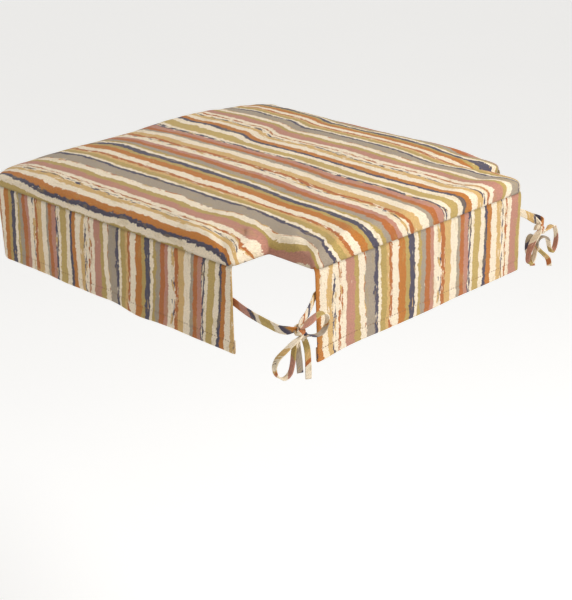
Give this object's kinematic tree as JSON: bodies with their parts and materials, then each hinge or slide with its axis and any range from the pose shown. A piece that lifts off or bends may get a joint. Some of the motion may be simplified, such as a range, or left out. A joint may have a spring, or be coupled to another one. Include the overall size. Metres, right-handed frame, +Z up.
{
  "type": "chair seat pad",
  "caption": "Foam seat pad for a chair with two back posts: zipped striped cover, hanging skirt and fabric ties bowed round the posts.",
  "frame": {"origin": "middle of the pad's flat underside, where it rests on the chair's seat", "axes": "+Z up, -Y towards the front of the chair, +X towards the sitter's left"},
  "size_m": [0.43, 0.5057, 0.1272],
  "materials": {
    "striped_weave": "striped cotton weave, matt",
    "foam": "open-cell polyurethane foam, matt",
    "striped_lining": "striped cotton weave, matt",
    "striped_skirt": "striped cotton weave, matt",
    "tie_fabric": "folded and stitched strips of the striped weave",
    "zip_tape": "woven polyester tape",
    "zip_coil": "nylon coil",
    "zip_metal": "nickel-plated, satin"
  },
  "bodies": {
    "pad": {"top_cover": "striped_weave", "foam_insert": "foam", "bottom_front_panel": "striped_lining", "bottom_rear_panel": "striped_lining", "skirt_front_sides": "striped_skirt", "skirt_rear": "striped_skirt", "tie_left_side": "tie_fabric", "tie_left_rear": "tie_fabric", "tie_right_side": "tie_fabric", "tie_right_rear": "tie_fabric", "zip_tape_front": "zip_tape", "zip_tape_rear": "zip_tape", "zip_coil_front": "zip_coil", "zip_coil_rear": "zip_coil", "zip_top_stop_front": "zip_metal", "zip_top_stop_rear": "zip_metal", "zip_bottom_stop": "zip_metal"},
    "zip_slider_body": {"zip_slider": "zip_metal"},
    "zip_pull_body": {"zip_pull_tab": "zip_metal"}
  },
  "joints": [
    {"name": "zip_slide", "type": "slide", "parent": "pad", "child": "zip_slider_body", "axis": [-1, 0, 0], "range_m": [0, 0.3026]},
    {"name": "zip_pull_flip", "type": "hinge", "parent": "zip_slider_body", "child": "zip_pull_body", "pos_m": [0.1513, 0.13, 0.0009], "axis": [0, -1, 0], "range_deg": [0, 170]}
  ]
}
